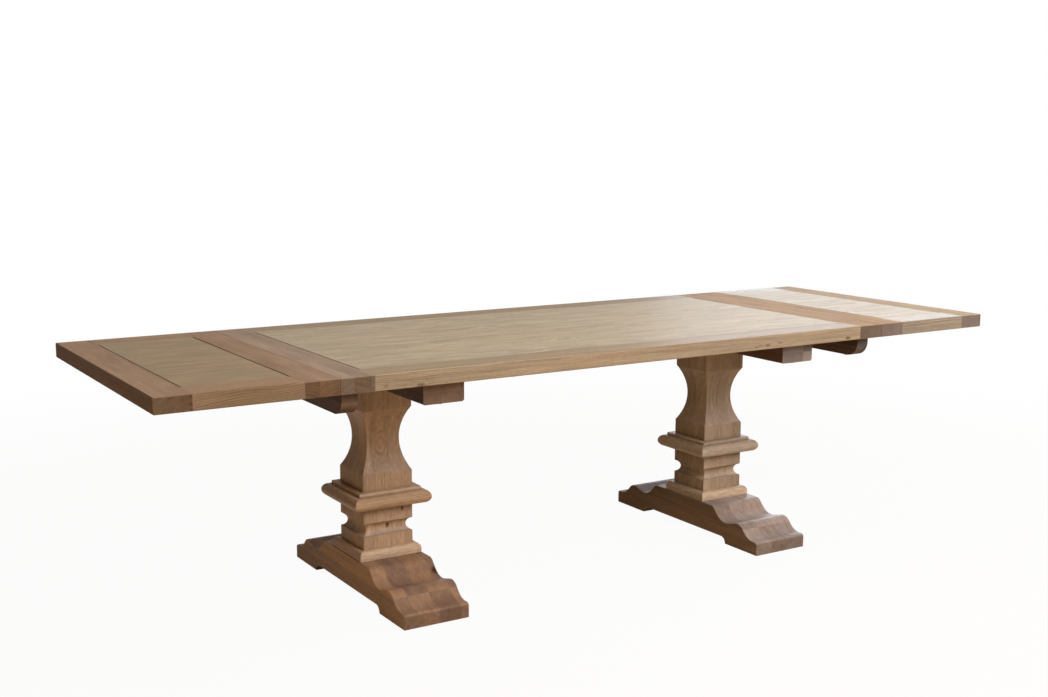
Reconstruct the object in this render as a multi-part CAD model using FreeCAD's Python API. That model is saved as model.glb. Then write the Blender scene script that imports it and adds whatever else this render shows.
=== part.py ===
import FreeCAD, Part
import math
import os
from collections import namedtuple

os.makedirs("parts", exist_ok=True)

# Driving dimensions in millimetres. X runs along the table, Y front to back, Z up from the floor.

# Table top
table_height = 775.0
top_width = 1000.0
top_thickness = 45.0
main_length = 2000.0
leaf_length = 499.0
leaf_gap = 1.0  # open seam between the main top and a docked leaf
end_board_width = 100.0
rail_width = 100.0
edge_ease = 2.0  # small bevel on the edges that hands touch

# Tongue and groove joints in the top
shadow_gap = 1.5  # open line between a panel and the end boards beside it
panel_bevel = 3.0  # widens that line at the surface
tongue_thickness = 12.0
tongue_depth = 15.0
groove_room = 0.5  # left open behind a tongue
groove_stop = 30.0  # solid wood that closes a groove before it reaches the long edge

# Dowels that locate a leaf on the main top
dowel_diameter = 12.0
dowel_length = 40.0
dowel_spacing = 700.0
dowel_count = 2
dowel_fit = 0.06  # radial clearance in the sockets

# Bearers over the pedestals and battens under the ends of the main top
bearer_width = 130.0
bearer_depth = 65.0
bearer_setback = 50.0  # from the long edges of the top
bearer_bevel = 5.0  # along the lower edges
batten_width = 48.0
batten_depth = 68.0
batten_inset = 20.0  # from the end of the main top
batten_setback = 42.0  # from the long edges of the top
batten_end_round = 48.0  # lower corner of both ends

# Runners that carry the leaves
runner_width = 40.0
runner_depth = 42.0
runner_spacing = 500.0
runner_end_margin = 100.0  # short of the outer end of the leaf
runner_tail = 40.0  # past the inner face of the bearer
runner_clearance = 0.3
runner_bevel = 8.0
peg_width = 12.0
peg_proud = 14.0  # of each side of the runner

# Pedestals
pedestal_spacing = 1330.0
foot_length = 800.0
foot_width = 214.0
foot_height = 120.0
toe_height = 45.5
knee_rise = 42.5  # from the toe to the knee
valley_dip = 13.0  # from the knee to the valley
toe_flat = 10.5
toe_round = 10.0
hollow_radius = 60.0
knee_radius = 40.0
shoulder_radius = 25.0
knee_slope = 48.0
valley_slope = 15.0
shoulder_slope = 45.0
pad_length = 165.0
arch_height = 22.0

base_width = 209.0
base_height = 30.0
base_round = 15.0
neck_width = 168.0
neck_height = 131.0
cove_start = 40.0  # above the foot of the neck
cove_height = 41.0
cove_depth = 16.0
collar_width = 259.0
collar_height = 42.0
plate_width = 209.0
plate_height = 10.0
vase_width = 168.0
vase_lower_block = 51.0
vase_upper_block = 81.0
waist_width = 110.0

# Tie rod through each pedestal, with a head in the foot and a nut in the bearer
rod_diameter = 12.0
rod_clearance = 0.3
rod_past_nut = 3.0
washer_width = 36.0
washer_thickness = 3.0
nut_across_flats = 19.0
nut_height = 10.0
pocket_width = 40.0
pocket_room = 2.0  # between the end of the rod and the mouth of its pocket

# Coach screws that hold the bearers to the rails and the battens to the end boards
screw_diameter = 8.0
screw_bite = 25.0  # into the top
screw_across_flats = 13.0
screw_head_height = 5.5
screw_clearance = 0.1
bearer_screw_inset = 25.0  # from the end of a bearer, so that the screw meets a rail
batten_screw_inset = 75.0  # from the end of a batten, clear of its rounded corner

# Levels and places that follow from them
underside = table_height - top_thickness
tongue_level = underside + top_thickness / 2
tongue_low = tongue_level - tongue_thickness / 2
tongue_high = tongue_level + tongue_thickness / 2
half_width = top_width / 2
panel_half_width = half_width - rail_width
groove_depth = tongue_depth + groove_room
main_end = main_length / 2
leaf_start = main_end + leaf_gap
leaf_end = leaf_start + leaf_length
pedestal_x = pedestal_spacing / 2
bearer_underside = underside - bearer_depth
batten_outer = main_end - batten_inset
batten_inner = batten_outer - batten_width
base_level = foot_height
neck_level = base_level + base_height
collar_level = neck_level + neck_height
plate_level = collar_level + collar_height
vase_level = plate_level + plate_height
vase_height = bearer_underside - vase_level
runner_top = underside - runner_clearance
runner_underside = runner_top - runner_depth
bearer_inner = pedestal_x - bearer_width / 2
runner_start = bearer_inner - runner_tail
runner_end = leaf_end - runner_end_margin
rod_pocket_depth = washer_thickness + nut_height + rod_past_nut + pocket_room
rod_low_seat = arch_height + rod_pocket_depth
rod_high_seat = underside - rod_pocket_depth
rod_low_end = arch_height + pocket_room
rod_high_end = underside - pocket_room

# Beams of the right end
Beam = namedtuple("Beam", "x_low x_high half_length depth screw_inset")
bearer_beam = Beam(bearer_inner, pedestal_x + bearer_width / 2, half_width - bearer_setback,
                   bearer_depth, bearer_screw_inset)
batten_beam = Beam(batten_inner, batten_outer, half_width - batten_setback,
                   batten_depth, batten_screw_inset)

left_to_right = FreeCAD.Vector(1, 0, 0)
front_to_back = FreeCAD.Vector(0, 1, 0)
up = FreeCAD.Vector(0, 0, 1)
origin = FreeCAD.Vector(0, 0, 0)
tolerance = 0.01


def point(x, y, z):
    return FreeCAD.Vector(x, y, z)


def box(x_low, x_high, y_low, y_high, z_low, z_high):
    return Part.makeBox(x_high - x_low, y_high - y_low, z_high - z_low, point(x_low, y_low, z_low))


def rod(radius, start, direction, length):
    return Part.makeCylinder(radius, length, start, direction)


def line(start, end):
    return Part.LineSegment(start, end).toShape()


def arc(start, middle, end):
    return Part.Arc(start, middle, end).toShape()


# The solid between a right-hand outline and its mirror image, pushed along a direction
def symmetric_prism(outline, mirror_normal, push):
    mirrored = [edge.mirror(origin, mirror_normal) for edge in outline]
    wire = Part.Wire(Part.__sortEdges__(outline + mirrored))
    return Part.Face(wire).extrude(push)


# A left-hand piece is the mirror image of the right-hand one
def left_of(shape):
    return shape.mirror(origin, left_to_right)


def save(shape, node):
    shape.exportStep("parts/" + node + ".step")


def near(value, place):
    return abs(value - place) < tolerance


# The edges of a board whose middle passes the test
def edges_where(board, test):
    return [edge for edge in board.Edges if test(edge.BoundBox.Center)]


def eased(board, size, test):
    return board.makeChamfer(size, edges_where(board, test))


def rounded(board, radius, test):
    return board.makeFillet(radius, edges_where(board, test))


# Six-sided prism of a nut or a screw's head
def hexagon(across_flats, low_middle, height):
    corner = across_flats / math.sqrt(3)
    turns = [math.radians(60 * index) for index in range(7)]
    corners = [low_middle + point(corner * math.cos(turn), corner * math.sin(turn), 0) for turn in turns]
    return Part.Face(Part.makePolygon(corners)).extrude(point(0, 0, height))


# Upright square block around the axis of a pedestal
def square_block(width, z_low, height):
    half = width / 2
    return box(pedestal_x - half, pedestal_x + half, -half, half, z_low, z_low + height)


# Framed tops: a panel tongued into two rails and two end boards

def top_panel(x_low, x_high):
    low = x_low + end_board_width
    high = x_high - end_board_width
    side = panel_half_width
    board = box(low + shadow_gap, high - shadow_gap, -side, side, underside, table_height)
    board = eased(board, panel_bevel, lambda c: near(c.z, table_height) and near(c.y, 0))
    end_tongues = box(low - tongue_depth, high + tongue_depth, -side, side, tongue_low, tongue_high)
    side = panel_half_width + tongue_depth
    side_tongues = box(low + shadow_gap, high - shadow_gap, -side, side, tongue_low, tongue_high)
    return board.fuse([end_tongues, side_tongues]).removeSplitter()


# The rail of the back edge, tenoned into the end boards
def top_rail(x_low, x_high):
    low = x_low + end_board_width
    high = x_high - end_board_width
    groove_end = panel_half_width + groove_depth
    board = box(low, high, panel_half_width, half_width, underside, table_height)
    board = eased(board, edge_ease, lambda c: near(c.y, half_width) and not near(c.z, tongue_level))
    groove = box(low, high, panel_half_width, groove_end, tongue_low, tongue_high)
    tenon_end = half_width - groove_stop
    tenons = [box(low - tongue_depth, low, groove_end, tenon_end, tongue_low, tongue_high),
              box(high, high + tongue_depth, groove_end, tenon_end, tongue_low, tongue_high)]
    return board.cut(groove).fuse(tenons).removeSplitter()


# The end board on the right of a framed top whose end face is at x_end. The edges of an end face
# that meets another top stay square, so that the seam closes tight.
def end_board(x_end, at_seam):
    x_inner = x_end - end_board_width
    x_eased = [(x_inner + x_end) / 2] if at_seam else [(x_inner + x_end) / 2, x_end]
    stop = half_width - groove_stop
    board = box(x_inner, x_end, -half_width, half_width, underside, table_height)
    board = eased(board, edge_ease, lambda c: any(near(c.x, x) for x in x_eased))
    groove = box(x_inner, x_inner + groove_depth, -stop, stop, tongue_low, tongue_high)
    return board.cut(groove)


def dowel_places():
    first = -dowel_spacing * (dowel_count - 1) / 2
    return [first + index * dowel_spacing for index in range(dowel_count)]


# Dowels glued halfway into the inner end board of the right leaf
def leaf_dowels(growth, extra_length):
    start = leaf_start - leaf_gap / 2 - dowel_length / 2 - extra_length
    length = dowel_length + 2 * extra_length
    return [rod(dowel_diameter / 2 + growth, point(start, y, tongue_level), left_to_right, length)
            for y in dowel_places()]


def dowel_sockets():
    return leaf_dowels(dowel_fit, groove_room)


# Beams under the top

def runner_places():
    return [-runner_spacing / 2, runner_spacing / 2]


# Notches that a pair of runners slides through
def runner_notches(x_low, x_high):
    half = runner_width / 2 + runner_clearance
    floor = runner_underside - runner_clearance
    return [box(x_low, x_high, y - half, y + half, floor, underside) for y in runner_places()]


# Where the heads of a beam's screws sit on its underside
def screw_seats(beam):
    middle = (beam.x_low + beam.x_high) / 2
    reach = beam.half_length - beam.screw_inset
    return [point(middle, y, underside - beam.depth) for y in (-reach, reach)]


def beam_screws(beam):
    screws = []
    for seat in screw_seats(beam):
        head = hexagon(screw_across_flats, seat - point(0, 0, screw_head_height), screw_head_height)
        shank = rod(screw_diameter / 2, seat, up, beam.depth + screw_bite)
        screws.append(head.fuse(shank).removeSplitter())
    return screws


def screw_holes(beam):
    radius = screw_diameter / 2 + screw_clearance
    length = beam.depth + screw_bite + screw_clearance
    return [rod(radius, seat, up, length) for seat in screw_seats(beam)]


def beam_block(beam):
    floor = underside - beam.depth
    return box(beam.x_low, beam.x_high, -beam.half_length, beam.half_length, floor, underside)


def beam_cuts(beam):
    return runner_notches(beam.x_low, beam.x_high) + screw_holes(beam)


def bearer():
    block = eased(beam_block(bearer_beam), bearer_bevel,
                  lambda c: near(c.z, bearer_underside) and not near(c.x, pedestal_x))
    pocket = square_block(pocket_width, rod_high_seat, rod_pocket_depth)
    return block.cut(beam_cuts(bearer_beam) + [pocket, rod_hole()])


def end_batten():
    block = rounded(beam_block(batten_beam), batten_end_round,
                    lambda c: near(c.z, underside - batten_depth) and not near(c.y, 0))
    return block.cut(beam_cuts(batten_beam))


# Runner of the right end at one place across the table, bevelled under its outer end
def runner(y):
    half = runner_width / 2
    bar = box(runner_start, runner_end, y - half, y + half, runner_underside, runner_top)
    return eased(bar, runner_bevel, lambda c: near(c.x, runner_end) and near(c.z, runner_underside))


# Square cross peg that meets the bearer when the runner is fully drawn
def runner_peg(y, growth):
    x = bearer_inner - runner_clearance - peg_width / 2
    z = (runner_top + runner_underside) / 2
    half = peg_width / 2 + growth
    reach = runner_width / 2 + peg_proud
    return box(x - half, x + half, y - reach, y + reach, z - half, z + half)


# Pedestals: square members stacked on a sledge foot, all on one tie rod

def rod_hole():
    length = rod_high_end - rod_low_end
    return rod(rod_diameter / 2 + rod_clearance, point(pedestal_x, 0, rod_low_end), up, length)


# A square member whose four sides all follow one outline: two prisms crossed at right angles
def square_member(outline):
    reach = max(edge.BoundBox.XMax for edge in outline)
    moved = [edge.translated(point(0, -reach, 0)) for edge in outline]
    prism = symmetric_prism(moved, left_to_right, point(0, 2 * reach, 0))
    crossed = prism.rotated(origin, up, 90)
    return prism.common(crossed).translated(point(pedestal_x, 0, 0)).cut(rod_hole())


# Right-hand outline of a member, closed to the axis at both ends
def closed_outline(low, high, side):
    first = side[0].Vertexes[0].Point.x
    last = side[-1].Vertexes[-1].Point.x
    floor = line(point(0, 0, low), point(first, 0, low))
    ceiling = line(point(last, 0, high), point(0, 0, high))
    return [floor] + side + [ceiling]


def quarter_middle(radius):
    return radius * math.sqrt(0.5)


def base_moulding():
    half = base_width / 2
    top = base_level + base_height
    turn = top - base_round
    middle = point(half - base_round + quarter_middle(base_round), 0, turn + quarter_middle(base_round))
    side = [line(point(half, 0, base_level), point(half, 0, turn)),
            arc(point(half, 0, turn), middle, point(half - base_round, 0, top))]
    return square_member(closed_outline(base_level, top, side))


def neck():
    half = neck_width / 2
    top = neck_level + neck_height
    cove_low = neck_level + cove_start
    cove_high = cove_low + cove_height
    middle = point(half - cove_depth, 0, cove_low + cove_height / 2)
    side = [line(point(half, 0, neck_level), point(half, 0, cove_low)),
            arc(point(half, 0, cove_low), middle, point(half, 0, cove_high)),
            line(point(half, 0, cove_high), point(half, 0, top))]
    return square_member(closed_outline(neck_level, top, side))


def collar():
    half = collar_width / 2
    radius = collar_height / 2
    top = collar_level + collar_height
    side = [arc(point(half - radius, 0, collar_level), point(half, 0, collar_level + radius),
                point(half - radius, 0, top))]
    return square_member(closed_outline(collar_level, top, side))


def collar_plate():
    half = plate_width / 2
    top = plate_level + plate_height
    side = [line(point(half, 0, plate_level), point(half, 0, top))]
    return square_member(closed_outline(plate_level, top, side))


def vase():
    half = vase_width / 2
    top = vase_level + vase_height
    waist_low = vase_level + vase_lower_block
    waist_high = top - vase_upper_block
    middle = point(waist_width / 2, 0, (waist_low + waist_high) / 2)
    side = [line(point(half, 0, vase_level), point(half, 0, waist_low)),
            arc(point(half, 0, waist_low), middle, point(half, 0, waist_high)),
            line(point(half, 0, waist_high), point(half, 0, top))]
    return square_member(closed_outline(vase_level, top, side))


# One S curve of the foot, drawn inwards: it leaves level, turns to the slope over the first
# radius, runs straight and turns back to level over the second. A short rise eases the slope.
def ogee(start, rise, first_radius, second_radius, slope):
    radii = first_radius + second_radius
    height = abs(rise)
    turn = min(math.radians(slope), math.acos(max(-1.0, 1 - height / radii)))
    straight = (height - radii * (1 - math.cos(turn))) / math.sin(turn)
    way = math.copysign(1, rise)

    def step(origin_point, run, climb):
        return origin_point + point(0, -run, way * climb)

    def bend(radius, angle):
        return radius * math.sin(angle), radius * (1 - math.cos(angle))

    first_end = step(start, *bend(first_radius, turn))
    second_start = step(first_end, straight * math.cos(turn), straight * math.sin(turn))
    end = step(start, radii * math.sin(turn) + straight * math.cos(turn), height)
    run_back, climb_back = bend(second_radius, turn / 2)
    second_middle = step(end, -run_back, -climb_back)
    edges = [arc(start, step(start, *bend(first_radius, turn / 2)), first_end)]
    if straight > tolerance:
        edges.append(line(first_end, second_start))
    edges.append(arc(second_start, second_middle, end))
    return edges, end


# Sledge foot: toe, knee, valley and flat seat above, an arch between two pads below
def foot():
    half = foot_length / 2
    knee_height = toe_height + knee_rise
    valley_height = knee_height - valley_dip
    arch_end = half - pad_length
    arch_flat = arch_end - arch_height
    toe_top = point(0, half - toe_round, toe_height)
    toe_middle = point(0, half - toe_round + quarter_middle(toe_round),
                       toe_height - toe_round + quarter_middle(toe_round))
    toe_face = point(0, half, toe_height - toe_round)
    toe_curve, knee = ogee(point(0, half - toe_round - toe_flat, toe_height), knee_rise,
                           hollow_radius, knee_radius, knee_slope)
    valley_curve, valley = ogee(knee, -valley_dip, knee_radius, hollow_radius, valley_slope)
    seat_curve, seat = ogee(valley, foot_height - valley_height,
                            hollow_radius, shoulder_radius, shoulder_slope)
    arch_middle = point(0, arch_flat + quarter_middle(arch_height), quarter_middle(arch_height))
    outline = [line(point(0, 0, arch_height), point(0, arch_flat, arch_height)),
               arc(point(0, arch_flat, arch_height), arch_middle, point(0, arch_end, 0)),
               line(point(0, arch_end, 0), point(0, half, 0)),
               line(point(0, half, 0), toe_face),
               arc(toe_face, toe_middle, toe_top),
               line(toe_top, point(0, half - toe_round - toe_flat, toe_height))]
    outline += toe_curve + valley_curve + seat_curve
    outline.append(line(seat, point(0, 0, foot_height)))
    moved = [edge.translated(point(pedestal_x - foot_width / 2, 0, 0)) for edge in outline]
    block = symmetric_prism(moved, front_to_back, point(foot_width, 0, 0))
    pocket = square_block(pocket_width, 0, rod_low_seat)
    return block.cut([pocket, rod_hole()])


def tie_rod():
    seat = point(pedestal_x, 0, rod_low_seat - washer_thickness)
    head = hexagon(nut_across_flats, seat - point(0, 0, nut_height), nut_height)
    shank = rod(rod_diameter / 2, seat, up, rod_high_end - seat.z)
    return head.fuse(shank).removeSplitter()


def nut(z_low):
    return hexagon(nut_across_flats, point(pedestal_x, 0, z_low), nut_height).cut(rod_hole())


# Square plate washer
def washer(z_low):
    return square_block(washer_width, z_low, washer_thickness).cut(rod_hole())


def rod_nuts():
    low_washer = rod_low_seat - washer_thickness
    return [washer(low_washer), washer(rod_high_seat), nut(rod_high_seat + washer_thickness)]


# Holes that the beams' screws make in the top
def top_screw_holes():
    right = screw_holes(bearer_beam) + screw_holes(batten_beam)
    return right + [left_of(hole) for hole in right]


def save_main_top():
    holes = top_screw_holes()
    back_rail = top_rail(-main_end, main_end)
    right_end = end_board(main_end, True).cut(dowel_sockets())
    save(top_panel(-main_end, main_end).cut(holes), "main_panel")
    save(back_rail.cut(holes), "main_rail_back")
    save(back_rail.mirror(origin, front_to_back).cut(holes), "main_rail_front")
    save(right_end.cut(holes), "main_end_right")
    save(left_of(right_end).cut(holes), "main_end_left")


# The right leaf's pieces, each with its name
def leaf_pieces():
    back_rail = top_rail(leaf_start, leaf_end)
    middle = (leaf_start + leaf_end) / 2
    inner_end = end_board(leaf_end, True).mirror(point(middle, 0, 0), left_to_right)
    return {"panel": top_panel(leaf_start, leaf_end),
            "rail_back": back_rail,
            "rail_front": back_rail.mirror(origin, front_to_back),
            "end_inner": inner_end.cut(dowel_sockets()),
            "end_outer": end_board(leaf_end, False),
            "dowels": Part.makeCompound(leaf_dowels(0, 0))}


def beam_pieces():
    return {"bearer": bearer(),
            "bearer_screws": Part.makeCompound(beam_screws(bearer_beam)),
            "end_batten": end_batten(),
            "end_batten_screws": Part.makeCompound(beam_screws(batten_beam))}


def runner_pieces():
    pieces = {}
    for name, y in zip(("front", "back"), runner_places()):
        pieces["runner_" + name] = runner(y).cut(runner_peg(y, screw_clearance))
        pieces["runner_peg_" + name] = runner_peg(y, 0)
    return pieces


def pedestal_pieces():
    return {"foot": foot(),
            "base_moulding": base_moulding(),
            "neck": neck(),
            "collar": collar(),
            "collar_plate": collar_plate(),
            "vase": vase(),
            "tie_rod": tie_rod(),
            "rod_nuts": Part.makeCompound(rod_nuts())}


def save_both_sides(pieces, prefix):
    for name, shape in pieces.items():
        save(shape, "right_" + prefix + name)
        save(left_of(shape), "left_" + prefix + name)


save_main_top()
save_both_sides(leaf_pieces(), "leaf_")
save_both_sides(beam_pieces(), "")
save_both_sides(runner_pieces(), "")
save_both_sides(pedestal_pieces(), "")
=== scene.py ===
import math

import bmesh
import bpy
from mathutils import Matrix, Vector


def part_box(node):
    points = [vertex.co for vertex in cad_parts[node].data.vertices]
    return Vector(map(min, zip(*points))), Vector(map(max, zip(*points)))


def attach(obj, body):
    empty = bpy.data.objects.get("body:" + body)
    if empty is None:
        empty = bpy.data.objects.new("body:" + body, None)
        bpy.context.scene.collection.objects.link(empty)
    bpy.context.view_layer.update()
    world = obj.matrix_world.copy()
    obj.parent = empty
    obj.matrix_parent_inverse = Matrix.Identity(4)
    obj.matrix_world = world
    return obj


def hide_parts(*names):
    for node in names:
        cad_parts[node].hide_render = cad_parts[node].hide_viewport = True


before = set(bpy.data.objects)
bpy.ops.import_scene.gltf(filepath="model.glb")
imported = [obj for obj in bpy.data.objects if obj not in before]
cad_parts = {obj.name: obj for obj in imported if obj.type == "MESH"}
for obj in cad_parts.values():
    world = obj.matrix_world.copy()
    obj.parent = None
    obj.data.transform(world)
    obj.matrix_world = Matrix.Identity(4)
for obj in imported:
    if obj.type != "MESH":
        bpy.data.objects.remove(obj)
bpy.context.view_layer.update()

print("frame loaded:", len(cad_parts), "nodes")

sides = ("left", "right")
scene = bpy.context.scene


def mm(value):
    return value / 1000


# Modelling helpers

sharpAngle = math.radians(35)  # an edge that turns more is softened, or stays sharp in the shading
squareSides = 4


def newPiece(name, shape, body, nodes):
    mesh = bpy.data.meshes.new(name)
    shape.to_mesh(mesh)
    shape.free()
    mesh.shade_smooth()
    mesh.set_sharp_from_angle(angle=sharpAngle)
    piece = bpy.data.objects.new(name, mesh)
    scene.collection.objects.link(piece)
    weighted = piece.modifiers.new("evenNormals", "WEIGHTED_NORMAL")
    weighted.keep_sharp = True
    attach(piece, body)
    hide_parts(*nodes)
    return piece


def softenEdges(shape, width, segments):
    bmesh.ops.recalc_face_normals(shape, faces=shape.faces)
    sharp = [edge for edge in shape.edges
             if len(edge.link_faces) == 2 and edge.calc_face_angle() > sharpAngle]
    bmesh.ops.bevel(shape, geom=sharp, offset=width, offset_type="OFFSET", affect="EDGES",
                    segments=segments, profile=0.5, material=-1, clamp_overlap=True)


def arcPoints(centre, radius, startAngle, endAngle, steps):
    turn = math.radians(endAngle - startAngle) / steps
    first = math.radians(startAngle)
    return [(centre[0] + radius * math.cos(first + turn * i),
             centre[1] + radius * math.sin(first + turn * i)) for i in range(steps + 1)]


def arcThrough(low, high, depth, steps):  # hollow between two points one above the other
    half = (high[1] - low[1]) / 2
    radius = (half * half + depth * depth) / (2 * depth)
    spread = math.degrees(math.asin(half / radius))
    centre = (low[0] - depth + radius, low[1] + half)
    return arcPoints(centre, radius, 180 + spread, 180 - spread, steps)


# Pedestals: square members, each spun from one outline of (half width, height)

memberLook = {"softEdge": mm(1.6), "softSegments": 2, "arcSteps": 20}
baseLook = {"round": mm(15)}
neckLook = {"coveStart": mm(40), "coveHeight": mm(41), "coveDepth": mm(16)}
vaseLook = {"lowerBlock": mm(51), "upperBlock": mm(81), "waist": mm(110)}


def squareMember(name, node, outline):
    low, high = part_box(node)
    centre = (low + high) / 2
    shape = bmesh.new()
    corner = [shape.verts.new((centre.x + half, centre.y + half, low.z + rise)) for half, rise in outline]
    chain = [shape.edges.new(pair) for pair in zip(corner, corner[1:])]
    bmesh.ops.spin(shape, geom=corner + chain, cent=centre, axis=(0, 0, 1), dvec=(0, 0, 0),
                   angle=math.tau, steps=squareSides, use_merge=True)
    rims = [edge for edge in shape.edges if edge.is_boundary]
    ends = bmesh.ops.holes_fill(shape, edges=rims, sides=squareSides)
    bmesh.ops.poke(shape, faces=ends["faces"])
    softenEdges(shape, memberLook["softEdge"], memberLook["softSegments"])
    return newPiece(name, shape, "table", [node])


def halfAndHeight(node):
    low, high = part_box(node)
    return (high.x - low.x) / 2, high.z - low.z


def baseMoulding(side):
    node = side + "_base_moulding"
    half, height = halfAndHeight(node)
    bend = baseLook["round"]
    outline = [(half, 0)] + arcPoints((half - bend, height - bend), bend, 0, 90, memberLook["arcSteps"])
    return squareMember("base_moulding_" + side, node, outline)


def neckBlock(side):
    node = side + "_neck"
    half, height = halfAndHeight(node)
    start = neckLook["coveStart"]
    cove = arcThrough((half, start), (half, start + neckLook["coveHeight"]), neckLook["coveDepth"],
                      memberLook["arcSteps"])
    return squareMember("neck_" + side, node, [(half, 0)] + cove + [(half, height)])


def bullnoseCollar(side):
    node = side + "_collar"
    half, height = halfAndHeight(node)
    bend = height / 2
    outline = arcPoints((half - bend, bend), bend, -90, 90, 2 * memberLook["arcSteps"])
    return squareMember("collar_" + side, node, outline)


def collarPlate(side):
    node = side + "_collar_plate"
    half, height = halfAndHeight(node)
    return squareMember("collar_plate_" + side, node, [(half, 0), (half, height)])


def vaseColumn(side):
    node = side + "_vase"
    half, height = halfAndHeight(node)
    waist = arcThrough((half, vaseLook["lowerBlock"]), (half, height - vaseLook["upperBlock"]),
                       half - vaseLook["waist"] / 2, 2 * memberLook["arcSteps"])
    return squareMember("vase_" + side, node, [(half, 0)] + waist + [(half, height)])


# Sledge feet: one outline of (place along the foot, height) pushed across the foot's width

footLook = {"toeHeight": mm(45.5), "kneeRise": mm(42.5), "valleyDip": mm(13), "toeFlat": mm(10.5),
            "toeRound": mm(10), "hollowRadius": mm(60), "kneeRadius": mm(40), "shoulderRadius": mm(25),
            "kneeSlope": 48, "valleySlope": 15, "shoulderSlope": 45, "padLength": mm(165),
            "archHeight": mm(22), "softEdge": mm(2), "softSegments": 3, "arcSteps": 12}


def ogeePoints(start, rise, firstRadius, secondRadius, slope, steps):
    radii = firstRadius + secondRadius
    turn = math.radians(slope)
    straight = (abs(rise) - radii * (1 - math.cos(turn))) / math.sin(turn)
    run = radii * math.sin(turn) + straight * math.cos(turn)
    way = math.copysign(1, rise)
    first = [(firstRadius * math.sin(turn * i / steps), firstRadius * (1 - math.cos(turn * i / steps)))
             for i in range(1, steps + 1)]
    second = [(run - secondRadius * math.sin(turn * i / steps),
               abs(rise) - secondRadius * (1 - math.cos(turn * i / steps))) for i in range(steps, -1, -1)]
    return [(start[0] - along, start[1] + way * up) for along, up in first + second]


def footOutline(half, height):
    look = footLook
    steps = look["arcSteps"]
    toeInner = half - look["toeRound"] - look["toeFlat"]
    knee = look["toeHeight"] + look["kneeRise"]
    valley = knee - look["valleyDip"]
    archEnd = half - look["padLength"]
    points = arcPoints((archEnd - look["archHeight"], 0), look["archHeight"], 90, 0, steps)
    points.append((half, 0))
    points += arcPoints((half - look["toeRound"], look["toeHeight"] - look["toeRound"]), look["toeRound"],
                        0, 90, steps)
    points.append((toeInner, look["toeHeight"]))
    points += ogeePoints(points[-1], look["kneeRise"], look["hollowRadius"], look["kneeRadius"],
                         look["kneeSlope"], steps)
    points += ogeePoints(points[-1], -look["valleyDip"], look["kneeRadius"], look["hollowRadius"],
                         look["valleySlope"], steps)
    points += ogeePoints(points[-1], height - valley, look["hollowRadius"], look["shoulderRadius"],
                         look["shoulderSlope"], steps)
    return points


def sledgeFoot(side):
    node = side + "_foot"
    low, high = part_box(node)
    right = footOutline((high.y - low.y) / 2, high.z - low.z)
    left = [(-along, up) for along, up in reversed(right)]
    shape = bmesh.new()
    ring = [shape.verts.new((low.x, along, up)) for along, up in right + left]
    cheek = shape.faces.new(ring)
    pushed = bmesh.ops.extrude_face_region(shape, geom=[cheek])
    moved = [item for item in pushed["geom"] if isinstance(item, bmesh.types.BMVert)]
    bmesh.ops.translate(shape, verts=moved, vec=(high.x - low.x, 0, 0))
    softenEdges(shape, footLook["softEdge"], footLook["softSegments"])
    return newPiece("foot_" + side, shape, "table", [node])


pedestals = {}
for side in sides:
    pedestals[side] = {"foot": sledgeFoot(side), "base": baseMoulding(side), "neck": neckBlock(side),
                       "collar": bullnoseCollar(side), "plate": collarPlate(side), "vase": vaseColumn(side)}
print("pedestals modelled:", sum(len(pieces) for pieces in pedestals.values()), "pieces")


# Material helpers

white = (1, 1, 1, 1)


def linear(hexColour):
    channels = [int(hexColour[i:i + 2], 16) / 255 for i in (1, 3, 5)]
    return [c / 12.92 if c <= 0.04045 else ((c + 0.055) / 1.055) ** 2.4 for c in channels] + [1]


def emptyTree(owner):  # of a material or the world
    owner.use_nodes = True
    owner.node_tree.nodes.clear()
    return owner.node_tree


# an item is a link where it is a node or a socket, and else a setting of the node or of an input
def addNode(tree, kind, items=None):
    node = tree.nodes.new("ShaderNode" + kind)
    for key, value in (items or {}).items():
        if isinstance(value, bpy.types.Node):
            value = value.outputs[0]
        if isinstance(value, bpy.types.NodeSocket):
            tree.links.new(value, node.inputs[key])
        elif isinstance(key, str) and hasattr(node, key):
            setattr(node, key, value)
        else:
            node.inputs[key].default_value = value
    return node


def maths(tree, operation, *terms):
    return addNode(tree, "Math", {"operation": operation, **dict(enumerate(terms))}).outputs[0]


def vectors(tree, operation, *terms):
    node = addNode(tree, "VectorMath", {"operation": operation, **dict(enumerate(terms))})
    return node.outputs["Value" if operation == "LENGTH" else "Vector"]


def scaled(tree, vector, factor):
    return addNode(tree, "VectorMath", {"operation": "SCALE", 0: vector, "Scale": factor}).outputs[0]


def ranged(tree, value, source, target, step="LINEAR"):
    items = {"From Min": source[0], "From Max": source[1], "To Min": target[0], "To Max": target[1]}
    return addNode(tree, "MapRange", {"interpolation_type": step, "Value": value, **items}).outputs[0]


def split(tree, vector):
    return addNode(tree, "SeparateXYZ", {"Vector": vector}).outputs


def blend(tree, share, first, second):
    return addNode(tree, "Mix", {"data_type": "RGBA", 0: share, 6: first, 7: second}).outputs[2]


def colourRamp(tree, value, positions, hexColours):
    node = addNode(tree, "ValToRGB", {"Fac": value})
    stops = node.color_ramp.elements
    while len(stops) < len(positions):
        stops.new(0.5)
    for stop, position, hexColour in zip(stops, positions, hexColours):
        stop.position = position
        stop.color = linear(hexColour)
    return node.outputs["Color"]


# Wood: values that all looks share

grainTurn = {"X": (0, 0, 0), "Y": (0, 0, -math.pi / 2), "Z": (0, math.pi / 2, 0)}
woodGrain = {"seedScale": 17, "wanderDetail": 3, "wanderRough": 0.5, "layerRough": 0.6, "figureRough": 0.62,
             "ringStops": (0.32, 0.5, 0.66), "poreTone": (0.7, 1), "reliefMm": 1, "oilIor": 1.5}
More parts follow.
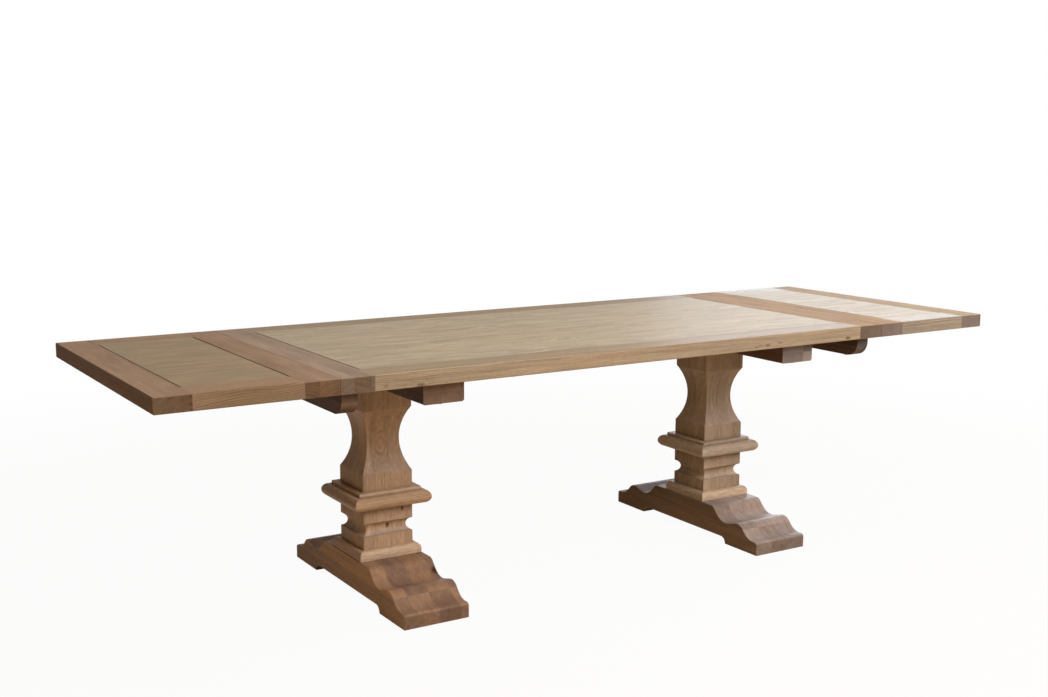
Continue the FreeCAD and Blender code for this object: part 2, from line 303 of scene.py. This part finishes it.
# a knot's core and an eye's faded rim, in shares of the mark's size, and how an eye's lines are drawn
markLook = {"core": (0.5, 0.12), "sway": 0.8, "lineWidth": 0.24, "lineDark": 0.27, "rim": (1, 0.85)}


def glueStaves(tree, turned, look):  # the place in a stave, and three dice that each stave has of its own
    axes = split(tree, turned)
    shift = [mm(width) * share for width, share in zip(look["staveMm"], look["staveShift"])]
    cells = []
    for axis, width, move in zip(("Y", "Z"), look["staveMm"], shift):
        moved = maths(tree, "ADD", axes[axis], move)
        cell = {"voronoi_dimensions": "1D", "W": moved, "Scale": 1 / mm(width),
                "Randomness": look["staveJitter"]}
        cells.append(addNode(tree, "TexVoronoi", cell))
    middle = addNode(tree, "CombineXYZ", {"X": axes["X"], "Y": cells[0].outputs["W"],
                                          "Z": cells[1].outputs["W"]})
    shifted = vectors(tree, "ADD", turned, (0, *shift))
    colours = vectors(tree, "ADD", cells[0].outputs["Color"], cells[1].outputs["Color"])
    return vectors(tree, "SUBTRACT", shifted, middle), vectors(tree, "FRACTION", colours)


def pithDistance(tree, turned, inStave, dice, seed, look):  # from a pith line that wanders
    spread = [mm(v) for v in look["pithSpreadMm"]]
    away = [mm(v) - width / 2 for v, width in zip(look["pithMm"], spread)]
    pith = vectors(tree, "MULTIPLY_ADD", dice, (0, *spread), (0, *away))
    slow = vectors(tree, "MULTIPLY_ADD", turned, look["wanderPerMetre"], seed)
    wander = addNode(tree, "TexNoise", {"Vector": slow, "Scale": 1, "Detail": woodGrain["wanderDetail"],
                                        "Roughness": woodGrain["wanderRough"]})
    swing = mm(look["wanderMm"])
    wandered = vectors(tree, "MULTIPLY_ADD", wander.outputs["Color"], (0, swing, swing),
                       (0, -swing / 2, -swing / 2))
    fromPith = vectors(tree, "ADD", inStave, pith)
    return vectors(tree, "LENGTH", vectors(tree, "ADD", fromPith, wandered))


def grainLayers(tree, turned, seed, look):  # noise of several sizes, drawn out along the wood
    layers = {}
    for layer, grain in look["layers"].items():
        perMetre = [1 / mm(size) for size in grain["sizeMm"]]
        stretched = vectors(tree, "MULTIPLY_ADD", turned, perMetre, seed)
        noise = addNode(tree, "TexNoise", {"Vector": stretched, "Scale": 1, "Detail": grain["detail"],
                                           "Roughness": woodGrain["layerRough"]})
        layers[layer] = ranged(tree, noise.outputs["Fac"], grain["range"], grain["tone"])
    return layers


# the rings swell around a mark, a knot has a dark core, and an eye has thin lines around it
def growMarks(tree, place, reach, ripple, marks):
    core = 0
    for mark in marks:
        beside = vectors(tree, "SUBTRACT", place, [mm(v) for v in mark["place"]])
        far = vectors(tree, "LENGTH", vectors(tree, "DIVIDE", beside, [mm(v) for v in mark["size"]]))
        swell = ranged(tree, far, (1, 0), (0, mm(mark["lift"])), "SMOOTHERSTEP")
        reach = maths(tree, "ADD", reach, swell)
        dark = ranged(tree, far, markLook["core"], (0, mark["dark"]), "SMOOTHSTEP")
        core = maths(tree, "MAXIMUM", core, dark)
        if mark["lines"]:
            gap = 1 / mark["lines"]
            uneven = maths(tree, "MULTIPLY_ADD", ripple, markLook["sway"], far)
            wave = maths(tree, "PINGPONG", uneven, gap / 2)
            width = gap * markLook["lineWidth"]
            line = ranged(tree, wave, (width, 0), (0, markLook["lineDark"]), "SMOOTHSTEP")
            inside = ranged(tree, far, markLook["rim"], (0, 1), "SMOOTHSTEP")
            core = maths(tree, "MAXIMUM", core, maths(tree, "MULTIPLY", line, inside))
    return reach, core


# Wood sawn into staves, glued up, planed, sanded and oiled. Growth rings run around a pith line beside
# each stave, so a face shows cathedrals, stripes or arcs by the way it was cut, and end grain is darker
def woodMaterial(name, look):
    material = bpy.data.materials.new(name)
    tree = emptyTree(material)
    place = addNode(tree, "TexCoord").outputs["Object"]
    turn = (0, math.radians(look["tilt"]), 0) if look["tilt"] else grainTurn[look["grain"]]
    turned = addNode(tree, "Mapping", {"Vector": place, "Rotation": turn}).outputs[0]
    inStave, dice = glueStaves(tree, turned, look)
    diceAxes = split(tree, dice)
    seed = scaled(tree, dice, woodGrain["seedScale"])
    layers = grainLayers(tree, turned, seed, look)
    reach = pithDistance(tree, turned, inStave, dice, seed, look)
    reach, core = growMarks(tree, place, reach, layers["ripple"], look["marks"])

    # how far a face is end grain, and how far it looks up
    facing = split(tree, addNode(tree, "NewGeometry").outputs["Normal"])
    along = maths(tree, "ABSOLUTE", facing[look["grain"]])
    # below 1 this darkens end grain; above 1, on the beams, it lightens their end faces as painted light
    endGrainAndLitEnd = ranged(tree, along, look["endFace"], (1, look["endGrainAndLitEnd"]))
    endCalm = ranged(tree, along, look["endFace"], (1, look["endCalm"]))
    endTinted = ranged(tree, along, look["endFace"], (0, look["endTintShare"]))
    # an up-facing face is blended towards a lighter colour: partly a limewash and partly a painted sheen on
    # the tops of boards and rails, and a painted sheen and highlight on columns, mouldings and the right
    # foot
    limewashedAndSheened = ranged(tree, facing["Z"], look["limewashAndSheenFace"], (0, look["limewashAndSheenShare"]))

    # ring figure of uneven widths, strong in some places and faint in others
    rings = maths(tree, "MULTIPLY_ADD", reach, 1 / mm(look["figureMm"]), split(tree, seed)["X"])
    figure = addNode(tree, "TexNoise", {"noise_dimensions": "1D", "W": rings, "Scale": 1,
                                        "Detail": look["figureDetail"],
                                        "Roughness": woodGrain["figureRough"]})
    centred = maths(tree, "MULTIPLY_ADD", figure, look["strength"], -look["strength"] / 2)
    contrast = maths(tree, "MULTIPLY", layers["contrast"], endCalm)
    faded = maths(tree, "MULTIPLY_ADD", centred, contrast, 0.5)
    colour = colourRamp(tree, faded, woodGrain["ringStops"], look["colours"])
    hue = maths(tree, "ADD", diceAxes["X"], layers["hue"])
    tinted = maths(tree, "MULTIPLY", hue, look["tintShare"] / 2)
    for share, hexColour in ((tinted, look["tint"]), (limewashedAndSheened, look["limewashAndSheen"]), (endTinted, look["endTint"]),
                             (core, look["knot"])):
        colour = blend(tree, share, colour, linear(hexColour))

    # tone: stave, blotches, fibres, pores and end grain
    tone = ranged(tree, diceAxes["Y"], (0, 1), look["tone"])
    for factor in (layers["blotch"], layers["fibre"], layers["pores"], endGrainAndLitEnd):
        tone = maths(tree, "MULTIPLY", tone, factor)
    relief = maths(tree, "MULTIPLY", layers["fibre"], layers["pores"])
    bump = addNode(tree, "Bump", {"Height": relief, "Strength": look["bump"],
                                  "Distance": mm(woodGrain["reliefMm"])})
    rough = ranged(tree, layers["pores"], woodGrain["poreTone"], look["rough"])
    surface = addNode(tree, "BsdfPrincipled", {"Base Color": scaled(tree, colour, tone), "Roughness": rough,
                                               "Normal": bump, "IOR": woodGrain["oilIor"],
                                               "Specular IOR Level": look["shine"]})
    addNode(tree, "OutputMaterial", {"Surface": surface})
    return material


# Grain layers: size along and across the wood, and the tones that the middle of the noise is spread to

oakLayers = {
    "contrast": {"sizeMm": (420, 60, 60), "detail": 1, "range": (0.3, 0.7), "tone": (0.35, 1.25)},
    "hue": {"sizeMm": (330, 28, 28), "detail": 2, "range": (0.35, 0.65), "tone": (0, 1)},
    "blotch": {"sizeMm": (260, 70, 70), "detail": 3, "range": (0.3, 0.7), "tone": (0.86, 1.13)},
    "fibre": {"sizeMm": (90, 2.4, 2.4), "detail": 4, "range": (0.3, 0.7), "tone": (0.84, 1.13)},
    "pores": {"sizeMm": (14, 0.7, 0.7), "detail": 2, "range": (0.34, 0.44), "tone": (0.72, 1.0)},
    "ripple": {"sizeMm": (45, 20, 20), "detail": 1, "range": (0.3, 0.7), "tone": (0, 0.3)},
}
panelLayers = {
    **oakLayers,
    "blotch": {"sizeMm": (170, 24, 24), "detail": 4, "range": (0.3, 0.7), "tone": (0.82, 1.16)},
}
streakLayers = {
    **oakLayers,
    "blotch": {"sizeMm": (380, 17, 17), "detail": 4, "range": (0.3, 0.7), "tone": (0.82, 1.16)},
}
columnLayers = {
    **oakLayers,
    "blotch": {"sizeMm": (300, 22, 22), "detail": 4, "range": (0.3, 0.7), "tone": (0.88, 1.11)},
    "fibre": {"sizeMm": (28, 5, 5), "detail": 4, "range": (0.3, 0.7), "tone": (0.81, 1.15)},
}
mouldingLayers = {**streakLayers, "fibre": columnLayers["fibre"]}

# Marks: places in the rest pose and sizes in mm, for knots, specks, a long dark streak and one eye
frontMarks = [{"place": (-868, -500, 743), "size": (26, 12, 12), "lift": 4, "dark": 0.4, "lines": 0},
              {"place": (-763, -500, 735), "size": (40, 18, 16), "lift": 6, "dark": 0.6, "lines": 0},
              {"place": (489, -500, 744), "size": (30, 14, 14), "lift": 5, "dark": 0.5, "lines": 0},
              {"place": (843, -500, 739), "size": (34, 18, 16), "lift": 6, "dark": 0.65, "lines": 0},
              {"place": (441, -500, 740), "size": (13, 8, 8), "lift": 1, "dark": 0.6, "lines": 0},
              {"place": (457, -500, 745), "size": (26, 8, 7), "lift": 1, "dark": 0.5, "lines": 0},
              {"place": (541, -500, 747), "size": (32, 8, 9), "lift": 2, "dark": 0.5, "lines": 0},
              {"place": (560, -411, 775), "size": (1100, 44, 44), "lift": 0, "dark": 0.26, "lines": 0}]
columnMarks = [{"place": (-661, -69, 216), "size": (18, 18, 30), "lift": 16, "dark": 0.9, "lines": 0},
               {"place": (-617, -84, 266), "size": (15, 15, 26), "lift": 14, "dark": 0.8, "lines": 0},
               {"place": (-675, -56, 471), "size": (34, 160, 64), "lift": 0, "dark": 0, "lines": 3}]
footMarks = [{"place": (-565, -197, 89), "size": (30, 60, 30), "lift": 24, "dark": 0.95, "lines": 0}]

# Looks: "rough" is given for pores and for smooth wood, and "endFace" and "limewashAndSheenFace" say how
# squarely a face has to meet the grain, or look up, before its end grain, or its limewash and painted
# sheen, sets in and is complete
oakCommon = {
    "grain": "X", "tilt": 0, "staveMm": (400, 400), "staveShift": (0.5, 0.5), "staveJitter": 0.5,
    "pithMm": (0, 120), "pithSpreadMm": (150, 150), "wanderPerMetre": (1.4, 4, 4), "wanderMm": 34,
    "figureMm": 9, "figureDetail": 3, "strength": 0.7, "layers": oakLayers, "marks": [],
    "tint": "#998060", "tintShare": 0.6, "limewashAndSheen": "#ab9676", "limewashAndSheenShare": 0, "limewashAndSheenFace": (0.6, 0.95),
    "endFace": (0.75, 0.97), "endGrainAndLitEnd": 0.7, "endCalm": 0.35, "endTint": "#8a7a6e", "endTintShare": 0,
    "knot": "#54301c", "tone": (0.94, 1.06), "bump": 0.2, "rough": (0.6, 0.42), "shine": 0.05,
}
panelCommon = {
    **oakCommon, "staveMm": (120, 400), "layers": panelLayers, "tone": (0.98, 1.02), "tintShare": 0.4,
    "wanderPerMetre": (2.4, 5, 5), "wanderMm": 60, "figureMm": 5, "strength": 0.5, "endFace": (0.4, 0.65),
    "endGrainAndLitEnd": 0.55, "endTint": "#6e4a2c", "endTintShare": 0.7, "rough": (0.68, 0.52), "shine": 0.1,
}
endBoardCommon = {
    **oakCommon, "grain": "Y", "staveMm": (50, 400), "tone": (0.92, 1.07), "tintShare": 0.8,
    "limewashAndSheenShare": 0.5, "endCalm": 1.4, "shine": 0.004,
}
# the grey end tint of these right-hand boards is a painted sheen on their end faces
warmCommon = {
    **oakCommon, "grain": "Y", "staveMm": (50, 400), "tone": (0.93, 1.06), "tint": "#a98964",
    "colours": ("#926c44", "#aa8456", "#ba9464"), "endGrainAndLitEnd": 0.5, "endTint": "#a3948c", "shine": 0.002,
}
# beams are darkened all over as a painted shade under the top, and their end faces are lifted by an
# endGrainAndLitEnd above 1, a painted light from the front
beamCommon = {
    **oakCommon, "grain": "Y", "staveMm": (65, 33), "staveShift": (3.5, 1.5), "tone": (0.72, 1.18),
    "colours": ("#563c28", "#694b36", "#775941"), "tint": "#624a37", "endGrainAndLitEnd": 1.42,
    "endTint": "#79685a", "endTintShare": 0.35, "shine": 0.02,
}
# the lighter wash on the columns' up-facing coves is a painted sheen
columnCommon = {
    **oakCommon, "grain": "Z", "staveMm": (84, 83.125), "staveShift": (0.5, 0), "staveJitter": 0.1,
    "layers": columnLayers, "tone": (0.84, 1.12), "figureMm": 8, "strength": 0.5, "limewashAndSheen": "#b39b86",
    "limewashAndSheenShare": 0.8, "limewashAndSheenFace": (0.1, 0.6), "shine": 0.04,
}
# the lighter wash on the mouldings' upper curves is a painted highlight
mouldingCommon = {
    **oakCommon, "layers": mouldingLayers, "colours": ("#9f7b57", "#b8946f", "#c7a37e"), "tint": "#b08e70",
    "figureMm": 5, "strength": 0.5, "limewashAndSheen": "#c4a78a", "limewashAndSheenShare": 0.2, "limewashAndSheenFace": (0.1, 0.6),
}
# a greyer copy for the right pedestal, a painted cool sheen over the right end of the table
sheenGreyMoulding = {
    **mouldingCommon, "colours": ("#92785d", "#a99278", "#b7a187"), "tint": "#a4917d", "limewashAndSheen": "#b9a28a",
}
# a paler copy for the front and back strips of the bases and the left plate, a painted light on the faces
# that look to the front
litMoulding = {**mouldingCommon, "colours": ("#a98a6c", "#c3a585", "#d2b495"), "tint": "#bfa48b"}
footCommon = {
    **oakCommon, "grain": "Y", "staveMm": (71, 400), "staveShift": (9.5, 0.5), "layers": streakLayers,
    "tone": (0.74, 1.2), "tintShare": 0.8, "pithMm": (170, 20), "pithSpreadMm": (120, 80),
    "figureMm": 14, "strength": 0.4, "shine": 0.06,
}
woodLooks = {
    "limedPanelOak": {**panelCommon, "colours": ("#948060", "#af9b7c", "#c1ae91"), "tint": "#afa187"},
    "leafPanelOak": {**panelCommon, "colours": ("#7e6646", "#977d59", "#a78e6a"), "tint": "#978463"},
    "railOak": {**oakCommon, "colours": ("#866d52", "#9e8669", "#ae977b"), "tint": "#9a8c78",
                "layers": streakLayers, "marks": frontMarks, "figureMm": 3, "strength": 0.8,
                "endGrainAndLitEnd": 0.75, "limewashAndSheen": "#9b8566", "limewashAndSheenShare": 0.6, "shine": 0.02},
    "leafRailOak": {**oakCommon, "colours": ("#624830", "#8d7257", "#9f8466"), "tint": "#90745a",
                    "tilt": 4, "staveShift": (1.5, 0.5), "wanderPerMetre": (5, 7, 7), "wanderMm": 40,
                    "figureMm": 2.2, "strength": 1.5, "endGrainAndLitEnd": 0.75, "limewashAndSheen": "#a07a53",
                    "limewashAndSheenShare": 0.7, "shine": 0.03},
    # the right leaf's rails, greyer as a painted cool sheen
    "sheenGreyRailOak": {**oakCommon, "colours": ("#74644e", "#8f7d66", "#a0907a"), "tint": "#93836d",
                    "figureMm": 3, "strength": 0.75, "endGrainAndLitEnd": 0.75, "limewashAndSheen": "#aca08a",
                    "limewashAndSheenShare": 0.7, "shine": 0.03},
    "endBoardOak": {**endBoardCommon, "colours": ("#775439", "#8d6848", "#9b7654"), "tint": "#8a7562",
                    "limewashAndSheen": "#b5977c", "endGrainAndLitEnd": 0.6},
    "greyEndBoardOak": {**endBoardCommon, "colours": ("#7a5b42", "#906f53", "#9f7e60"), "tint": "#8d7c6c",
                        "limewashAndSheen": "#bba38c", "endGrainAndLitEnd": 0.62},
    "warmEndBoardOak": {**warmCommon, "endGrainAndLitEnd": 0.4, "endTintShare": 0.45},
    "warmLeafEndOak": {**warmCommon, "endTintShare": 0.65},
    "paleLeafEndOak": {**warmCommon, "colours": ("#94754e", "#ac8d62", "#bc9e72"), "tint": "#ab9370",
                       "endTintShare": 0.65},
    "beamOak": beamCommon,
    # the right bearer, greyer at its end as a painted cool sheen
    "sheenGreyBeamOak": {**beamCommon, "endGrainAndLitEnd": 1.13, "endTint": "#857a70", "endTintShare": 0.65},
    # a still darker copy for the right end batten, a painted shade under the top
    "paintedShadeBeamOak": {**beamCommon, "colours": ("#483727", "#584534", "#65513f"), "tint": "#534434",
                   "endGrainAndLitEnd": 0.85, "endTint": "#79706a", "endTintShare": 0.5},
    "columnOak": {**columnCommon, "colours": ("#9a7754", "#b6926e", "#c5a27e"), "tint": "#b09278",
                  "marks": columnMarks},
    # the right column, greyer as a painted cool sheen
    "sheenGreyColumnOak": {**columnCommon, "colours": ("#8c7053", "#a4896c", "#b2997c"), "tint": "#9e8973"},
    "mouldingOakAcross": {**mouldingCommon, "grain": "X"},
    "mouldingOakAlong": {**mouldingCommon, "grain": "Y"},
    "litMouldingOakAcross": {**litMoulding, "grain": "X"},
    "sheenGreyMouldingOakAcross": {**sheenGreyMoulding, "grain": "X"},
    "sheenGreyMouldingOakAlong": {**sheenGreyMoulding, "grain": "Y"},
    "footOak": {**footCommon, "colours": ("#896447", "#9a7555", "#a67f5f"), "tint": "#8f7260",
                "marks": footMarks},
    # a paler copy for the left foot's left cheek, a painted light on that side
    "litCheekFootOak": {**footCommon, "colours": ("#ae8257", "#c29566", "#d0a070"), "tint": "#b3906d",
                    "shine": 0.03},
    # the right foot, greyer and with a grey wash on its tops, a painted cool sheen
    "sheenGreyFootOak": {**footCommon, "colours": ("#866a55", "#987c65", "#a48771"), "tint": "#918073",
                    "limewashAndSheen": "#a2978f", "limewashAndSheenShare": 0.45},
    # a darker copy for the right foot's left cheek, a painted shade on that side
    "shadedCheekFootOak": {**footCommon, "colours": ("#7a5d45", "#8b6d52", "#97775b"), "tint": "#84705c",
                   "shine": 0.02},
    "beechDowel": {**oakCommon, "colours": ("#c19a73", "#cfa982", "#d9b48e"), "tint": "#cfa982",
                   "endGrainAndLitEnd": 0.85},
}
materials = {name: woodMaterial(name, look) for name, look in woodLooks.items()}


# Zinc-plated steel: a thin passivated coat with cloudy spangle
zincLook = {"colours": ("#8d9093", "#b9bbbb"), "stops": (0.35, 0.65), "cloudMm": 6, "cloudDetail": 4,
            "rough": (0.3, 0.5)}


def zincMaterial(name, look):
    material = bpy.data.materials.new(name)
    tree = emptyTree(material)
    place = addNode(tree, "TexCoord").outputs["Object"]
    cloud = addNode(tree, "TexNoise", {"Vector": place, "Scale": 1 / mm(look["cloudMm"]),
                                       "Detail": look["cloudDetail"]})
    tone = colourRamp(tree, cloud, look["stops"], look["colours"])
    rough = ranged(tree, cloud, (0, 1), look["rough"])
    surface = addNode(tree, "BsdfPrincipled", {"Base Color": tone, "Roughness": rough, "Metallic": 1})
    addNode(tree, "OutputMaterial", {"Surface": surface})
    return material


materials["zincPlatedSteel"] = zincMaterial("zincPlatedSteel", zincLook)
print("materials mixed:", ", ".join(materials))


# Painting: a node takes the first rule whose word is in its name

def paint(target, *names):
    target.data.materials.clear()
    for name in names:
        target.data.materials.append(materials[name])


paintRules = (
    ("screws", "zincPlatedSteel"), ("tie_rod", "zincPlatedSteel"), ("rod_nuts", "zincPlatedSteel"),
    ("dowels", "beechDowel"), ("runner", "railOak"),
    ("right_leaf_rail", "sheenGreyRailOak"), ("leaf_rail", "leafRailOak"), ("rail", "railOak"),
    # the right leaf's panel takes the main panel's paler look in place of the leaf look, a painted sheen on
    # the right end
    ("right_leaf_panel", "limedPanelOak"), ("leaf_panel", "leafPanelOak"), ("panel", "limedPanelOak"),
    ("right_bearer", "sheenGreyBeamOak"), ("bearer", "beamOak"),
    ("right_end_batten", "paintedShadeBeamOak"), ("batten", "beamOak"),
    ("right_leaf_end_outer", "paleLeafEndOak"), ("right_leaf_end", "warmLeafEndOak"),
    ("main_end_right", "warmEndBoardOak"), ("main_end_left", "greyEndBoardOak"), ("_end_", "endBoardOak"),
    ("", "columnOak"),
)
for nodeName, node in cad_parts.items():
    paint(node, next(look for word, look in paintRules if word in nodeName))

# of two looks, a mitred strip has the first across the table and the second along it, its grain running
# around the column, and a foot has the second on its left cheek: a paler copy on the left foot as painted
# light, a darker copy on the right foot as painted shade
pedestalLooks = {
    "left": {"foot": ("footOak", "litCheekFootOak"),
             "base": ("litMouldingOakAcross", "mouldingOakAlong"),
             "neck": ("columnOak",),
             "collar": ("mouldingOakAcross", "mouldingOakAlong"),
             "plate": ("litMouldingOakAcross", "mouldingOakAlong"),
             "vase": ("columnOak",)},
    "right": {"foot": ("sheenGreyFootOak", "shadedCheekFootOak"),
              "base": ("litMouldingOakAcross", "sheenGreyMouldingOakAlong"),
              "neck": ("sheenGreyColumnOak",),
              "collar": ("sheenGreyMouldingOakAcross", "sheenGreyMouldingOakAlong"),
              "plate": ("sheenGreyMouldingOakAcross", "sheenGreyMouldingOakAlong"),
              "vase": ("sheenGreyColumnOak",)},
}
cheekFacing = -0.9  # a face of the foot is on its left cheek where its normal's x is below this


def paintMember(piece, part, names, middle):
    paint(piece, *names)
    for face in piece.data.polygons:
        off = face.center - middle
        if part == "foot":
            face.material_index = int(face.normal.x < cheekFacing)
        elif len(names) > 1:
            face.material_index = int(abs(off.x) > abs(off.y))


for side in sides:
    low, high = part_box(side + "_vase")
    for part, piece in pedestals[side].items():
        paintMember(piece, part, pedestalLooks[side][part], (low + high) / 2)
print("nodes and pieces painted")


# Floor, light and camera

stage = {"floorHex": "#d8c6ac", "floorSize": 60.0, "glowNear": 0.955, "clearFrom": 1.8, "clearTo": 4.5}
lamps = [
    {"name": "ceilingSoftbox", "place": (0.6, -0.2, 3.6), "aim": (0.6, 0, 0), "size": (4.0, 2.4),
     "power": 22, "hex": "#fffaf2"},
    {"name": "frontSoftbox", "place": (0.6, -4.4, 3.65), "aim": (0, 0, 0.5), "size": (3.0, 3.0),
     "power": 245, "hex": "#fdfaf5"},
    {"name": "coolSoftbox", "place": (4.3, -3.2, 2.0), "aim": (0.9, 0, 0.5), "size": (1.6, 1.6),
     "power": 95, "hex": "#b8ceff"},
    {"name": "rightSoftbox", "place": (4.4, -1.8, 3.9), "aim": (0.7, 0, 0.4), "size": (2.0, 2.0),
     "power": 90, "hex": "#dbe7ff"},
    {"name": "backWindow", "place": (6.5, 4.4, 1.9), "aim": (1.2, 0, 0.75), "size": (4.2, 2.6),
     "power": 230, "hex": "#eef4ff"},
]
sky = {"ambient": 0.13, "hex": "#ffdcb4"}
cameraView = {"place": (-2.4397053, -3.7345993, 1.4253519), "yaw": 0.55540039, "pitch": 0.1606197,
              "roll": 0.00335594, "focalPixels": 1354.38512, "imageWidth": 1048, "sensorMm": 36}


def seenRays(tree):  # 1 for camera, glossy and transmission rays
    rays = addNode(tree, "LightPath").outputs
    glossy = maths(tree, "MAXIMUM", rays["Is Camera Ray"], rays["Is Glossy Ray"])
    return maths(tree, "MAXIMUM", glossy, rays["Is Transmission Ray"])


# Painted floor: white where it is seen, but for a little paint and the shadow around the table
def layFloor():
    shape = bmesh.new()
    bmesh.ops.create_grid(shape, x_segments=1, y_segments=1, size=stage["floorSize"] / 2)
    mesh = bpy.data.meshes.new("studioFloor")
    shape.to_mesh(mesh)
    shape.free()
    floor = bpy.data.objects.new("studioFloor", mesh)
    scene.collection.objects.link(floor)
    material = bpy.data.materials.new("paintedFloor")
    tree = emptyTree(material)
    far = vectors(tree, "LENGTH", addNode(tree, "TexCoord").outputs["Object"])
    clear = ranged(tree, far, (stage["clearFrom"], stage["clearTo"]), (stage["glowNear"], 1), "SMOOTHSTEP")
    share = maths(tree, "MULTIPLY", clear, seenRays(tree))
    coat = addNode(tree, "BsdfDiffuse", {"Color": linear(stage["floorHex"])})
    glow = addNode(tree, "Emission", {"Color": white, "Strength": 1})
    mixed = addNode(tree, "MixShader", {0: share, 1: coat, 2: glow})
    addNode(tree, "OutputMaterial", {"Surface": mixed})
    mesh.materials.append(material)


def hangLamp(lamp):
    light = bpy.data.lights.new(lamp["name"], "AREA")
    light.shape = "RECTANGLE"
    light.size, light.size_y = lamp["size"]
    light.energy = lamp["power"]
    light.color = linear(lamp["hex"])[:3]
    item = bpy.data.objects.new(lamp["name"], light)
    item.location = lamp["place"]
    item.rotation_euler = (Vector(lamp["aim"]) - Vector(lamp["place"])).to_track_quat("-Z", "Y").to_euler()
    item.visible_camera = False
    scene.collection.objects.link(item)


def lightWorld():  # white where it is seen, and a low warm light on the table
    world = bpy.data.worlds.new("whiteStudio")
    scene.world = world
    tree = emptyTree(world)
    seen = seenRays(tree)
    backdrop = addNode(tree, "Background", {"Color": blend(tree, seen, linear(sky["hex"]), white),
                                            "Strength": ranged(tree, seen, (0, 1), (sky["ambient"], 1))})
    addNode(tree, "OutputWorld", {"Surface": backdrop})


def setCamera():
    view = cameraView
    camera = bpy.data.cameras.new("photoCamera")
    camera.sensor_width = view["sensorMm"]
    camera.lens = view["focalPixels"] / view["imageWidth"] * view["sensorMm"]
    item = bpy.data.objects.new("photoCamera", camera)
    heading = Matrix.Rotation(-view["yaw"], 4, "Z")
    tilt = Matrix.Rotation(math.pi / 2 - view["pitch"], 4, "X")
    lean = Matrix.Rotation(view["roll"], 4, "Z")
    item.matrix_world = Matrix.Translation(view["place"]) @ heading @ tilt @ lean
    scene.collection.objects.link(item)
    scene.camera = item


layFloor()
for lamp in lamps:
    hangLamp(lamp)
lightWorld()
setCamera()
scene.view_settings.view_transform = "Standard"
print("stage, lamps and camera placed")
